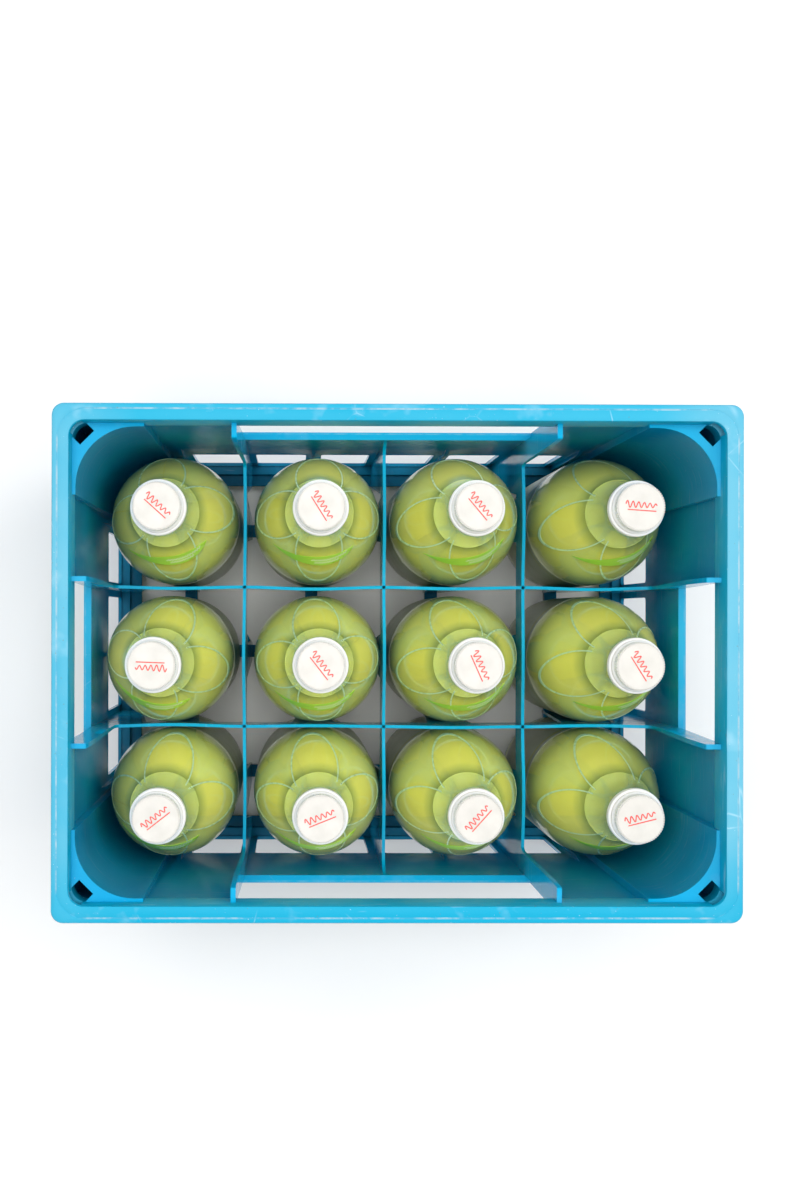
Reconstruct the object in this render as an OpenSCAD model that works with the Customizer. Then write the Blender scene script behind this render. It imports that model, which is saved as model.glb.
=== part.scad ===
// Bottle crate with three rows of four glass bottles.
// Millimetres, +Z up, origin at the centre of the foot's underside.
// X runs along the four columns, Y along the three rows, row "a" being at the back.

/* [Crate] */
// Outside length of the rim, along X
crate_l = 400; // [396:1:408]
// Outside width of the rim, along Y
crate_w = 300; // [297:1:308]
// Height from the foot to the rim
crate_h = 330; // [322:1:350]
// Width of the rim's flat top
rim_w = 10; // [9:0.5:11]
// Depth of the rim beam
rim_deep = 27; // [20:1:32]
// Radius of the rim's outer corners
rim_r = 7; // [5:0.5:8]
// Radius of the rim's inner corners
rim_inner_r = 9; // [6:0.5:10]
// Thickness of the wall panels
wall_t = 2.5; // [2:0.1:3]
// Setback of the panels from the rim's inner face
wall_back = 2.9; // [2.6:0.1:3.2]
// Depth of the flanges around the openings, from the panel's inner face
flange_deep = 4.95; // [4:0.05:5]

/* [Openings in the walls] */
// Height of the handle sill
sill_z = 202; // [196:1:210]
// Width of the handle slot in the long walls
long_slot_w = 191; // [188:1:192]
// Width of the handle slot in the end walls
end_slot_w = 98; // [96:1:99]
// Bottom of the low windows
window_low = 17; // [16:1:40]
// Top of the low windows
window_high = 104; // [96:1:112]
// Corner radius of the low windows
window_r = 3; // [1:0.5:5]

/* [Base] */
// Height of the stacking foot
foot_h = 12; // [10:0.5:13]
// Setback of the foot from the crate's outside
foot_back = 11.5; // [11.5:0.1:11.8]
// Height of the floor on which the bottles stand
floor_z = 10; // [9:0.5:10]
// Width of the floor's bars
bar_w = 9.5; // [8:0.5:12]
// Width of the strip around the floor
strip_w = 8.5; // [7:0.5:10]

/* [Dividers] */
// Spacing of the dividers in both directions
pitch = 93.04; // [92.8:0.02:93.4]
// Thickness of the divider plates
divider_t = 1.5; // [1.2:0.1:1.6]
// Height of the dividers' top edge
divider_top = 184; // [180:1:190]

/* [Corner columns] */
// Radius of the concave inner skin
skin_r = 35; // [34:0.5:36]
// Thickness of the skin
skin_t = 2; // [1.6:0.1:2]
// Depth of the web below the rim's top
web_deep = 14; // [12:0.5:16]
// Width of the drain hole, which runs out to the rim's inner corner
drain = 11.5; // [8:0.5:12]

/* [Bottle] */
// Radius of the bottle's body
body_r = 43; // [42:0.5:43]
// Height at which the shoulder starts
shoulder_h = 141; // [130:1:150]
// Height at which the neck starts
neck_h = 240; // [230:1:250]
// Radius at the foot of the neck
neck_r = 21.5; // [20:0.5:24]
// Radius of the neck under the cap
throat_r = 14.5; // [14:0.1:15]
// Height of the glass lip
lip_h = 301.7; // [300:0.1:303]
// Thickness of the glass
glass_t = 2.8; // [2:0.1:3.5]
// Height of the drink's surface
fill_h = 238; // [220:1:244]

/* [Hidden] */
CRATE = "DeepSkyBlue";
INSIDE = "DarkCyan";
half_l = crate_l / 2;
half_w = crate_w / 2;
// Rim's inner faces, panels' inner and outer faces, flanges' outer faces
in_x = half_l - rim_w;
in_y = half_w - rim_w;
wall_x = in_x + wall_back;
wall_y = in_y + wall_back;
flange_t = 3;
skirt_t = rim_w - wall_back - flange_deep;
rim_z = crate_h - rim_deep;
rim_top_t = 4;
rib_t = 2.5;
// Centre of a corner column's skin, and the ends of the column
skin_x = in_x - skin_r - skin_t;
skin_y = in_y - skin_r - skin_t;
rib_end = 5;
col_end_x = skin_x - rib_end;
col_end_y = skin_y - rib_end;
web_t = 2.5;
drain_in = 3.6;
ledge_t = 2.5;
wall_z = foot_h + ledge_t;
// Foot's outer and inner faces, and the floor inside its strip
foot_x = half_l - foot_back;
foot_y = half_w - foot_back;
foot_t = 2;
foot_in_x = foot_x - foot_t;
foot_in_y = foot_y - foot_t;
foot_in_r = rim_r - foot_t;
floor_x = foot_in_x - strip_w;
floor_y = foot_in_y - strip_w;
strip_t = 4;
bar_h = 8;
// Height of the locating fins on the panels, and how far they stand out
fin_h = 146;
fin_out = 3;
fin_taper = 26;
// Bottle's heel, bead, screw finish, tamper band and cap
heel_r = 10;
base_t = 5;
bead_h = 281;
bead_t = 4;
bead_r = 15.6;
finish_r = 12.9;
bore_r = 9.8;
band_r = 16.75;
band_t = 6.6;
band_gap = 0.4;
cap_r = 14.5;
cap_wall = 1.2;
cap_top = 303.5;
seal_gap = 0.1;
// Bottle centres: loose in their cells, so each column and row is slightly off centre
col_x = [-141, -44.3, 48.8, 144];
row_y = [91.8, -2, -92];
// The middle bottle of the left column leans on the end wall
left_shift = -3;
function centre(r, c) = [col_x[c] + (r == 1 && c == 0 ? left_shift : 0), row_y[r], floor_z];
row_name = ["a", "b", "c"];
function cell(kind, r, c) = str(kind, "_", row_name[r], c + 1);
BOTTLE_NODES = ["bottle", "drink", "cap", "band"];

// Outline of a rectangle centred on the origin, with round corners
function arc(x, y, r, from, n = 5) =
    [for (i = [0:n]) [x + r * cos(from + 90 * i / n), y + r * sin(from + 90 * i / n)]];
function rounded(a, b, r) = concat(
    arc(a - r, b - r, r, 0), arc(r - a, b - r, r, 90),
    arc(r - a, r - b, r, 180), arc(a - r, r - b, r, 270)
);

module border(a, b, r, inner_a, inner_b, inner_r) {
    difference() {
        polygon(rounded(a, b, r));
        polygon(rounded(inner_a, inner_b, inner_r));
    }
}

// ---- Rim: an inverted channel all round, stiffened by cross ribs ----
module top_rim() {
    color(CRATE) {
        translate([0, 0, crate_h - rim_top_t])
            linear_extrude(rim_top_t)
                border(half_l, half_w, rim_r, in_x, in_y, rim_inner_r);
        translate([0, 0, rim_z])
            linear_extrude(rim_deep - rim_top_t)
                border(half_l, half_w, rim_r, half_l - skirt_t, half_w - skirt_t, rim_r - skirt_t);
        difference() {
            translate([0, 0, rim_z])
                linear_extrude(rim_deep - rim_top_t)
                    border(wall_x, wall_y, rim_inner_r + 1, in_x, in_y, rim_inner_r);
            for (sx = [0, 1], sy = [0, 1])
                mirror([sx, 0, 0])
                    mirror([0, sy, 0])
                        drain_notch();
        }
        for (s = [-1, 1], x = [-3:3])
            rim_rib(x * pitch / 2, s * (wall_y + flange_deep / 2), rib_t, flange_deep);
        for (s = [-1, 1], y = [-2:2])
            rim_rib(s * (wall_x + flange_deep / 2), y * pitch / 2, flange_deep, rib_t);
    }
}

// The drain hole goes on outwards through the inner skirt, between the web and the rim's top
module drain_notch() {
    out = 11;
    translate([in_x - drain_in, in_y - drain_in, crate_h - web_deep])
        rotate(45)
            translate([0, -drain / 2, 0])
                cube([out, drain, web_deep - rim_top_t]);
}

module rim_rib(x, y, a, b) {
    translate([x, y, rim_z + rim_deep / 2 - rim_top_t / 2])
        cube([a, b, rim_deep - rim_top_t], center = true);
}

// ---- Walls: drawn flat, u along the wall and v up, then stood on end ----
module window(u, w) {
    translate([u, (window_low + window_high) / 2])
        polygon(rounded(w / 2, (window_high - window_low) / 2, window_r));
}

// Panel with its windows as [centre, width], and ribs outside at the u values given
module wall(half_len, slot_w, windows, ribs, fins) {
    // Panel
    linear_extrude(wall_t)
        difference() {
            translate([-half_len, wall_z])
                square([2 * half_len, rim_z - wall_z]);
            translate([-slot_w / 2, sill_z])
                square([slot_w, rim_z - sill_z]);
            for (w = windows)
                window(w[0], w[1]);
        }
    // Flange around the handle slot, and the ledge above the windows
    outside = flange_deep - wall_t;
    translate([0, 0, wall_t])
        linear_extrude(outside) {
            translate([-slot_w / 2 - flange_t, sill_z - flange_t])
                square([slot_w + 2 * flange_t, flange_t]);
            for (s = [-1, 1])
                translate([s * (slot_w + flange_t) / 2 - flange_t / 2, sill_z])
                    square([flange_t, rim_z - sill_z]);
            translate([-half_len, window_high])
                square([2 * half_len, rib_t]);
            for (u = ribs)
                translate([u - rib_t / 2, window_high + rib_t])
                    square([rib_t, sill_z - flange_t - window_high - rib_t]);
        }
    // Locating fins inside, each with a tapered top
    for (u = fins)
        translate([u - rib_t / 2, 0, 0])
            rotate([0, 90, 0])
                linear_extrude(rib_t)
                    polygon([[0, wall_z], [fin_out, wall_z], [fin_out, fin_h - fin_taper],
                             [fin_out * 0.8, fin_h - fin_taper / 2], [0, fin_h]]);
}

// Low windows as [centre, width], the same on both sides of a wall's middle
long_windows = [for (s = [-1, 1], w = [[23.25, 34.5], [69.5, 36], [115.5, 35]]) [s * w[0], w[1]]];
end_windows = [for (s = [-1, 1], w = [[21.6, 38.8], [69.5, 35.5]]) [s * w[0], w[1]]];
fin_at = pitch / 2;

module long_wall(s) {
    color(INSIDE)
        rotate([0, 0, s > 0 ? 0 : 180])
            translate([0, wall_y, 0])
                rotate([90, 0, 0])
                    mirror([0, 0, 1])
                        wall(col_end_x, long_slot_w, long_windows, [-fin_at, 0, fin_at],
                             [-3 * fin_at, -fin_at, fin_at, 3 * fin_at]);
}

module end_wall(s) {
    color(INSIDE)
        rotate([0, 0, s > 0 ? -90 : 90])
            translate([0, wall_x, 0])
                rotate([90, 0, 0])
                    mirror([0, 0, 1])
                        wall(col_end_y, end_slot_w, end_windows, [0], [-2 * fin_at, 0, 2 * fin_at]);
}

// ---- Corner columns: hollow, with a concave skin towards the bottle ----
module column_quarter(inner, outer) {
    intersection() {
        difference() {
            circle(r = outer, $fn = 96);
            circle(r = inner, $fn = 96);
        }
        square(outer + 1);
    }
}

module corner_column() {
    // Skin with a flat rib at each end
    translate([0, 0, wall_z])
        linear_extrude(crate_h - web_deep - wall_z) {
            translate([skin_x, skin_y])
                column_quarter(skin_r, skin_r + skin_t);
            translate([col_end_x, skin_y + skin_r])
                square([rib_end, skin_t]);
            translate([skin_x + skin_r, col_end_y])
                square([skin_t, rib_end]);
        }
    // Outer corner of the walls, closed at both ends down to the skin
    translate([0, 0, wall_z])
        linear_extrude(rim_z - wall_z) {
            difference() {
                translate([col_end_x, col_end_y])
                    square([wall_x + wall_t - col_end_x, wall_y + wall_t - col_end_y]);
                translate([col_end_x - 1, col_end_y - 1])
                    square([wall_x - col_end_x + 1, wall_y - col_end_y + 1]);
            }
            translate([col_end_x, in_y])
                square([rib_t, wall_back]);
            translate([in_x, col_end_y])
                square([wall_back, rib_t]);
        }
    // Web just below the rim, with the drain hole
    translate([0, 0, crate_h - web_deep - web_t])
        linear_extrude(web_t)
            difference() {
                intersection() {
                    translate([skin_x, skin_y])
                        square([in_x - skin_x, in_y - skin_y]);
                    polygon(rounded(in_x, in_y, rim_inner_r));
                }
                translate([skin_x, skin_y])
                    circle(r = skin_r + skin_t / 2, $fn = 96);
                translate([in_x - drain_in, in_y - drain_in])
                    rotate(45)
                        square([drain + 3, drain], center = true);
            }
}

module corner_columns() {
    color(INSIDE)
        for (sx = [0, 1], sy = [0, 1])
            mirror([sx, 0, 0])
                mirror([0, sy, 0])
                    corner_column();
}

// ---- Base: stacking foot, step out to the walls, strip and bars of the floor ----
module foot_ring() {
    color(CRATE) {
        linear_extrude(foot_h)
            border(foot_x, foot_y, rim_r, foot_in_x, foot_in_y, foot_in_r);
        translate([0, 0, foot_h])
            linear_extrude(ledge_t)
                border(wall_x + wall_t, wall_y + wall_t, rim_r, foot_in_x, foot_in_y, foot_in_r);
        translate([0, 0, floor_z - strip_t])
            linear_extrude(strip_t)
                border(foot_in_x, foot_in_y, foot_in_r, floor_x, floor_y, 2);
    }
}

module floor_bar(x, y, a, b) {
    color(CRATE)
        translate([x, y, floor_z - bar_h / 2])
            cube([a, b, bar_h], center = true);
}

// Three bars under the rows, from strip to strip
module floor_bars_long() {
    for (y = [-pitch, 0, pitch])
        floor_bar(0, y, 2 * floor_x, bar_w);
}

// Four bars under the columns, in lengths between the long bars
module floor_bars_cross() {
    gap = pitch - bar_w;
    end = floor_y - pitch - bar_w / 2;
    for (x = [-3, -1, 1, 3], s = [-1, 1]) {
        floor_bar(x * pitch / 2, s * pitch / 2, bar_w, gap);
        floor_bar(x * pitch / 2, s * (floor_y - end / 2), bar_w, end);
    }
}

// ---- Dividers: plates drawn flat from the middle (u = 0) to the wall ----
// Top edge: level, then curving up near the wall, from u = from to the point (to, high)
curve_n = 8;
function curve_up(from, to, high) =
    [for (i = [curve_n:-1:0]) let (a = 90 * i / curve_n)
        [from + (to - from) * sin(a), divider_top + (high - divider_top) * (1 - cos(a))]];
// The same, then up as a rib that stands inwards of the rim, its flat top being level with the
// underside of a foot that is stacked in the rim
rib_low = 11;
rib_high = 9;
rib_curve_w = 3;
rib_curve_z = 192;
rib_top_z = crate_h - foot_h;
function rib_up(reach) = let (face = reach - wall_back) concat(
    [[reach, rim_z], [face, rim_z], [face, rib_top_z], [face - rib_high, rib_top_z]],
    curve_up(face - rib_low - rib_curve_w, face - rib_low, rib_curve_z)
);
// Lower edge: legs stand on the floor bars at mid-cell, arches clear the crossings between them,
// and at the wall a broad leg stands on the strip and the ledge
arch_z = 157;
leg_foot = 6.5;
leg_top = 15;
wall_leg = 32;
function leg(u) = [[u - leg_top, arch_z], [u - leg_foot, floor_z], [u + leg_foot, floor_z],
                   [u + leg_top, arch_z]];
function half_plate(legs, reach, foot_in, top) = concat(
    [for (u = legs) each leg(u)],
    [[reach - wall_leg, arch_z], [foot_in - strip_w, floor_z], [foot_in, floor_z],
     [foot_in, wall_z], [reach, wall_z]],
    top
);

module divider(legs, reach, foot_in, top) {
    translate([0, 0, -divider_t / 2])
        linear_extrude(divider_t)
            for (s = [0, 1])
                mirror([s, 0])
                    polygon(concat([[0, divider_top], [0, arch_z]],
                                   half_plate(legs, reach, foot_in, top)));
}

// Middle leg, for plates that have a cell's middle at u = 0
module middle_leg() {
    translate([0, 0, -divider_t / 2])
        linear_extrude(divider_t)
            polygon(leg(0));
}

// Between two columns, so in the plane x = const
module column_divider(x, top) {
    color(CRATE)
        translate([x, 0, 0])
            rotate([90, 0, 90]) {
                divider([pitch], wall_y, foot_in_y, top);
                middle_leg();
            }
}

// The middle divider rises to the handle sills, the outer two to the rim
sill_curve_w = 12;
module divider_middle() {
    column_divider(0, curve_up(wall_y - sill_curve_w, wall_y, sill_z));
}

module dividers_outer() {
    for (s = [-1, 1])
        column_divider(s * pitch, rib_up(wall_y));
}

// Between the rows, in planes y = const, in lengths between the column dividers
module dividers_row() {
    color(CRATE)
        for (s = [-1, 1])
            translate([0, s * pitch / 2, 0])
                difference() {
                    rotate([90, 0, 0])
                        divider([pitch / 2, 3 * pitch / 2], wall_x, foot_in_x, rib_up(wall_x));
                    for (x = [-pitch, 0, pitch])
                        translate([x, 0, crate_h / 2])
                            cube([divider_t, 2 * divider_t, crate_h], center = true);
                }
}

// ---- Bottle: heel, straight body, round shoulder, neck, bead and screw finish ----
steps = 10;
function wall_curve(shrink) = concat(
    [for (i = [0:steps]) let (t = i / steps)
        [neck_r + (body_r - neck_r) * cos(90 * t) - shrink,
         shoulder_h + (neck_h - shoulder_h) * t]],
    [for (i = [1:steps]) let (s = i / steps)
        [throat_r + (neck_r - throat_r) * pow(1 - s, 2.2) - shrink,
         neck_h + (bead_h - neck_h) * s]]
);
function heel(r, z, round_r) =
    [for (i = [0:4]) [r - round_r + round_r * sin(90 * i / 4), z + round_r - round_r * cos(90 * i / 4)]];

module lathe(points) {
    rotate_extrude($fn = 96)
        polygon(points);
}

module bottle() {
    color("LightCyan", 0.4)
        lathe(concat(
            [[0, 0]], heel(body_r, 0, heel_r), wall_curve(0),
            [[bead_r, bead_h], [bead_r, bead_h + bead_t], [finish_r, bead_h + bead_t],
             [finish_r, lip_h], [bore_r, lip_h], [bore_r, bead_h]],
            [for (i = [2 * steps - 1:-1:0]) [wall_curve(glass_t)[i][0], wall_curve(0)[i][1]]],
            [for (i = [4:-1:0]) heel(body_r - glass_t, base_t, heel_r)[i]],
            [[0, base_t]]
        ));
}

// The drink fills the glass up to its surface
module drink() {
    inner = wall_curve(glass_t);
    below = [for (p = inner) if (p[1] < fill_h) p];
    next = inner[len(below)];
    last = below[len(below) - 1];
    k = (fill_h - last[1]) / (next[1] - last[1]);
    color("YellowGreen")
        lathe(concat(
            [[0, base_t]], heel(body_r - glass_t, base_t, heel_r), below,
            [[last[0] + k * (next[0] - last[0]), fill_h], [0, fill_h]]
        ));
}

// Tamper band left standing on the bead
module band() {
    z = bead_h + bead_t;
    color("White")
        lathe([[finish_r + 0.1, z], [band_r, z], [band_r, z + band_t - 2],
               [cap_r + 1, z + band_t], [finish_r + 0.1, z + band_t]]);
}

module cap() {
    z = bead_h + bead_t + band_t + band_gap;
    color("White")
        lathe([[cap_r - cap_wall, z], [cap_r + 0.7, z], [cap_r, cap_top - 4],
               [cap_r, cap_top - 1.2], [cap_r - 1, cap_top], [0, cap_top],
               [0, lip_h + seal_gap], [cap_r - cap_wall, lip_h + seal_gap]]);
}

top_rim();
corner_columns();
long_wall(-1);  // front_wall
long_wall(1);  // back_wall
end_wall(-1);  // left_wall
end_wall(1);  // right_wall
foot_ring();
floor_bars_long();
floor_bars_cross();
divider_middle();
dividers_outer();
dividers_row();
for (r = [0:2], c = [0:3])
    translate(centre(r, c)) {
        bottle();
        drink();
        cap();
        band();
    }
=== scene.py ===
"""Crate with twelve bottles: the looks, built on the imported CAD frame. Metres, +Z up."""

import math

import bmesh
import bpy
from mathutils import Matrix, Vector


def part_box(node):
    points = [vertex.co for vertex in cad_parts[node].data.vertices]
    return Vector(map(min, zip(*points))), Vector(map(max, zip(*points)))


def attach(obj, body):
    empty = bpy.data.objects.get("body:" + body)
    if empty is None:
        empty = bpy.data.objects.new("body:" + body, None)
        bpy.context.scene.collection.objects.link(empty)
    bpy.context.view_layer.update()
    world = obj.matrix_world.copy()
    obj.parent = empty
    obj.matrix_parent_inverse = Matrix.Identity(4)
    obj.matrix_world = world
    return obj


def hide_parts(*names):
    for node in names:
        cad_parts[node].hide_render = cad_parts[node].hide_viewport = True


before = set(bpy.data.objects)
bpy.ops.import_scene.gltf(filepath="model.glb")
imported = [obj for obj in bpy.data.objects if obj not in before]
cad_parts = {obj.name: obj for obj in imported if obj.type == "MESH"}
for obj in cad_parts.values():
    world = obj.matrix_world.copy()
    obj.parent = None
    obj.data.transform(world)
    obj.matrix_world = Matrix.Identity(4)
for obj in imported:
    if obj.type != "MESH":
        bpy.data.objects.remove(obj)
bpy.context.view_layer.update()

MM = 0.001
ROWS, COLUMNS = "abc", "1234"
CELLS = [row + column for row in ROWS for column in COLUMNS]

# ---- Sizes, in millimetres, as the CAD source has them ----
# Rim and walls
RIM_DEEP, RIM_TOP, RIM_WIDE = 27.0, 4.0, 10.0
RIM_R, RIM_INNER_R = 7.0, 9.0
INNER_SKIRT, OUTER_SKIRT = 2.9, 2.15
WALL_BACK, WALL_Z = 2.9, 14.5
DRAIN_IN, DRAIN_W, DRAIN_OUT, WEB_DEEP = 3.6, 11.5, 11.0, 14.0
# Floor and foot
FLOOR_Z, STRIP_W, FOOT_BACK, FOOT_T, FOOT_H = 10.0, 8.5, 11.5, 2.0, 12.0
# Dividers
PITCH = 93.04
DIVIDER_TOP, ARCH_Z, SILL_Z, SILL_CURVE_W = 184.0, 157.0, 202.0, 12.0
RIB_LOW, RIB_HIGH, RIB_CURVE_W, RIB_CURVE_Z = 11.0, 9.0, 3.0, 192.0
LEG_FOOT, LEG_TOP, WALL_LEG = 6.5, 15.0, 32.0
# Bottle, drink, band and cap
BODY_R, NECK_R, THROAT_R, THROAT_POWER = 43.0, 21.5, 14.5, 2.2
HEEL_R, BASE_T, GLASS_T = 10.0, 5.0, 2.8
SHOULDER_H, NECK_H, BEAD_H, LIP_H, FILL_H = 141.0, 240.0, 281.0, 301.7, 238.0
BEAD_R, BEAD_T, FINISH_R, BORE_R = 15.6, 4.0, 12.9, 9.8
BAND_R, BAND_T, CAP_R, CAP_WALL, CAP_TOP = 16.75, 6.6, 14.5, 1.2, 303.5

_, rim_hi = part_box("top_rim")
HALF_L, HALF_W, TOP_Z = (value / MM for value in rim_hi)
RIM_Z = TOP_Z - RIM_DEEP
RIB_TOP_Z = TOP_Z - FOOT_H

# ---- Sizes, in millimetres and degrees, that only the looks have ----
DIVIDER_T, RIB_T, RIB_FROM, RIB_FULL, FLARE = 2.1, 3.0, 24.0, 12.0, 2.3
STEP_IN, STEP_DEEP, STEP_R = 3.2, 0.3, 16.0
PUNT, PUNT_R, BEARING_R = 3.0, 20.0, 32.5
PETAL_AT, PETAL_LONG, PETAL_HALF, PETAL_SWEEP = 23.6, 17.2, 14.8, 121.0
LEAF_FROM, LEAF_TO, LEAF_NEAR, LEAF_RISE, LEAF_HALF = 211, 319, 0.682, 0.11, 2.4
LABEL_LOW, LABEL_HIGH, LABEL_OUT = 22.0, 136.0, 0.12
CAP_RECESS = 0.3
CORNERS = ((1, 1), (-1, 1), (-1, -1), (1, -1))

# ---- Light and camera, in metres, watts and degrees ----
LIGHTS = (
    ("overhead", (-0.1, 0.1, 2.8), 1.8, 46),
    ("key", (1.5, 0.4, 2.2), 1.6, 18),
    ("fill", (-1.3, 0.9, 2.3), 1.6, 7),
)
LIGHT_TARGET, SKY_STRENGTH = (0, 0, 0.2), 0.45
EYE, LENS, SENSOR, SHIFT = (-0.061, 0.0277, 1.249), 47.84, 36, (0.0768, 0.0128)
TILT, ROLL = 0.55, -0.12


def srgb(red, green, blue):
    """Linear colour from 0 to 255 screen values."""
    def linear(value):
        value /= 255
        return value / 12.92 if value <= 0.04045 else ((value + 0.055) / 1.055) ** 2.4
    return linear(red), linear(green), linear(blue), 1.0


# ---- Camera, light and floor ----
def make_camera():
    """Looks straight down, a little beside the crate's middle."""
    data = bpy.data.cameras.new("camera")
    data.lens, data.sensor_width = LENS, SENSOR
    data.shift_x, data.shift_y = SHIFT
    camera = bpy.data.objects.new("camera", data)
    turn = Matrix.Rotation(math.radians(ROLL), 3, "Z") @ Matrix.Rotation(math.radians(TILT), 3, "Y")
    camera.matrix_world = Matrix.Translation(EYE) @ turn.transposed().to_4x4()
    bpy.context.scene.collection.objects.link(camera)
    bpy.context.scene.camera = camera


def make_light(name, place, size, power):
    data = bpy.data.lights.new(name, "AREA")
    data.shape, data.size, data.energy = "DISK", size, power
    light = bpy.data.objects.new(name, data)
    light.location = place
    light.rotation_euler = (Vector(LIGHT_TARGET) - Vector(place)).to_track_quat("-Z", "Y").to_euler()
    bpy.context.scene.collection.objects.link(light)


def make_world():
    world = bpy.data.worlds.new("studio")
    world.use_nodes = True
    sky = world.node_tree.nodes["Background"]
    sky.inputs["Color"].default_value = (1, 1, 1, 1)
    sky.inputs["Strength"].default_value = SKY_STRENGTH
    bpy.context.scene.world = world
    bpy.context.scene.view_settings.view_transform = "Standard"


# ---- Materials ----
class Paint:
    """A material under construction: make() adds a node, with constants or sockets as its inputs."""

    def __init__(self, name):
        self.material = bpy.data.materials.new(name)
        self.material.use_nodes = True
        self.tree = self.material.node_tree
        self.tree.nodes.clear()
        self.place = self.make("TexCoord").outputs["Object"]

    def make(self, kind, inputs=None, **settings):
        node = self.tree.nodes.new("ShaderNode" + kind)
        for key, value in settings.items():
            setattr(node, key, value)
        for key, value in (inputs or {}).items():
            if isinstance(value, bpy.types.NodeSocket):
                self.tree.links.new(value, node.inputs[key])
            else:
                node.inputs[key].default_value = value
        return node

    def math(self, operation, a, b=0.0):
        return self.make("Math", {0: a, 1: b}, operation=operation).outputs[0]

    def times(self, a, b):
        return self.math("MULTIPLY", a, b)

    def noise(self, scale, detail=2.0, rough=0.5, stretch=None):
        place = self.place
        if stretch:
            place = self.make("Mapping", {"Vector": place, "Scale": stretch}).outputs[0]
        inputs = {"Vector": place, "Scale": scale, "Detail": detail, "Roughness": rough}
        return self.make("TexNoise", inputs).outputs["Fac"]

    def ramp(self, value, low, high, to_low=0.0, to_high=1.0):
        inputs = {"Value": value, "From Min": low, "From Max": high, "To Min": to_low, "To Max": to_high}
        return self.make("MapRange", inputs, clamp=True).outputs["Result"]

    def mix(self, share, a, b):
        """Colour a, or b where share is 1."""
        node = self.make("Mix", data_type="RGBA")
        for socket, value in zip((0, 6, 7), (share, a, b)):
            if isinstance(value, bpy.types.NodeSocket):
                self.tree.links.new(value, node.inputs[socket])
            else:
                node.inputs[socket].default_value = value
        return node.outputs[2]

    def bump(self, height, strength, distance, normal=None):
        inputs = {"Height": height, "Strength": strength, "Distance": distance}
        if normal:
            inputs["Normal"] = normal
        return self.make("Bump", inputs).outputs["Normal"]

    def axes(self, place=None):
        return self.make("SeparateXYZ", {0: place or self.place}).outputs

    def output(self, shader):
        self.make("OutputMaterial", {"Surface": shader.outputs[0]})
        return self.material

    def principled(self, inputs):
        return self.output(self.make("BsdfPrincipled", inputs))


def crate_plastic(name, top, side, scuffed, gloss, shine):
    """Moulded polyethylene: faded where it faces up, speckled, scratched and finely grained, and painted
    darker low down as shade near the crate's floor.
    scuffed is 0 to 1, gloss the mean roughness of its sides and shine its reflectance."""
    p = Paint(name)
    facing = p.axes(p.make("NewGeometry").outputs["Normal"])[2]
    upward = p.ramp(facing, 0.35, 0.9)
    x, y, z = p.axes()
    ends = p.ramp(p.math("ABSOLUTE", x), 0.15, 0.19, 0.0, 0.38 * scuffed)
    front = p.ramp(y, -0.10, -0.14, 0.0, 0.75 * scuffed)
    top = p.mix(ends, top, srgb(150, 196, 210))
    top = p.mix(front, top, side)
    patches = p.noise(9.0, 4.0, 0.6)
    colour = p.mix(upward, side, top)
    # Painted shade: the plastic is painted dark blue near the floor, where the shade deep inside the crate
    # falls.
    shade_full_z, shade_gone_z = 0.008, 0.06
    colour = p.mix(p.ramp(z, shade_full_z, shade_gone_z, 0.88, 0.0), colour, srgb(0, 46, 78))
    darker = p.mix(0.5, colour, side)
    colour = p.mix(p.ramp(patches, 0.4, 0.62), colour, darker)
    streaks = p.noise(60.0, 3.0, 0.6, stretch=(0.6, 0.6, 5.0))
    pale = srgb(215, 240, 250)
    colour = p.mix(p.ramp(streaks, 0.58, 0.75, 0.0, 0.25 * scuffed), colour, pale)
    specks = p.ramp(p.noise(900.0, 1.0, 0.5), 0.765, 0.80)
    colour = p.mix(p.times(specks, 0.8 * scuffed), colour, pale)
    dirt = p.ramp(p.noise(620.0, 2.0, 0.6, stretch=(1.0, 1.0, 0.4)), 0.725, 0.76)
    colour = p.mix(p.times(dirt, 0.7 * scuffed), colour, srgb(120, 110, 100))
    cells = p.make("TexVoronoi", {"Vector": p.place, "Scale": 24.0}, feature="DISTANCE_TO_EDGE")
    line = p.ramp(cells.outputs["Distance"], 0.0, 0.012, 1.0, 0.0)
    broken = p.times(line, p.ramp(p.noise(35.0), 0.58, 0.66))
    scratch = p.times(broken, p.times(upward, scuffed))
    colour = p.mix(p.times(scratch, 0.35), colour, pale)
    # A worn line along the rim's step, broken, and absent at the corners
    step_line, line_half, line_fade = 0.0031, 0.0003, 0.0006
    far_x, far_y = p.math("ABSOLUTE", x), p.math("ABSOLUTE", y)
    from_x, from_y = p.math("SUBTRACT", HALF_L * MM, far_x), p.math("SUBTRACT", HALF_W * MM, far_y)
    inset = p.math("MINIMUM", from_x, from_y)
    aside = p.math("ABSOLUTE", p.math("SUBTRACT", inset, step_line))
    worn = p.ramp(aside, line_half, line_fade, 1.0, 0.0)
    corner = p.times(p.ramp(far_x, 0.178, 0.184), p.ramp(far_y, 0.128, 0.134))
    worn = p.times(worn, p.math("SUBTRACT", 1.0, corner))
    worn = p.times(worn, p.ramp(p.noise(90.0, 4.0, 0.7), 0.42, 0.6, 0.1, 0.75))
    worn = p.times(worn, p.times(upward, scuffed))
    colour = p.mix(worn, colour, srgb(186, 206, 214))
    rough = p.ramp(p.noise(45.0, 3.0), 0.3, 0.7, gloss - 0.03, gloss + 0.06)
    rough = p.math("ADD", rough, p.times(upward, 0.22))
    grain = p.bump(p.noise(1500.0, 2.0), 0.12 * scuffed + 0.02, 0.0003)
    waves = p.bump(p.noise(22.0, 2.0), 0.3, 0.0006, grain)
    normal = p.bump(scratch, 0.25, 0.0002, waves)
    return p.principled({
        "Base Color": colour, "Roughness": rough, "Normal": normal, "IOR": 1.5,
        "Specular IOR Level": shine,
    })


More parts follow.
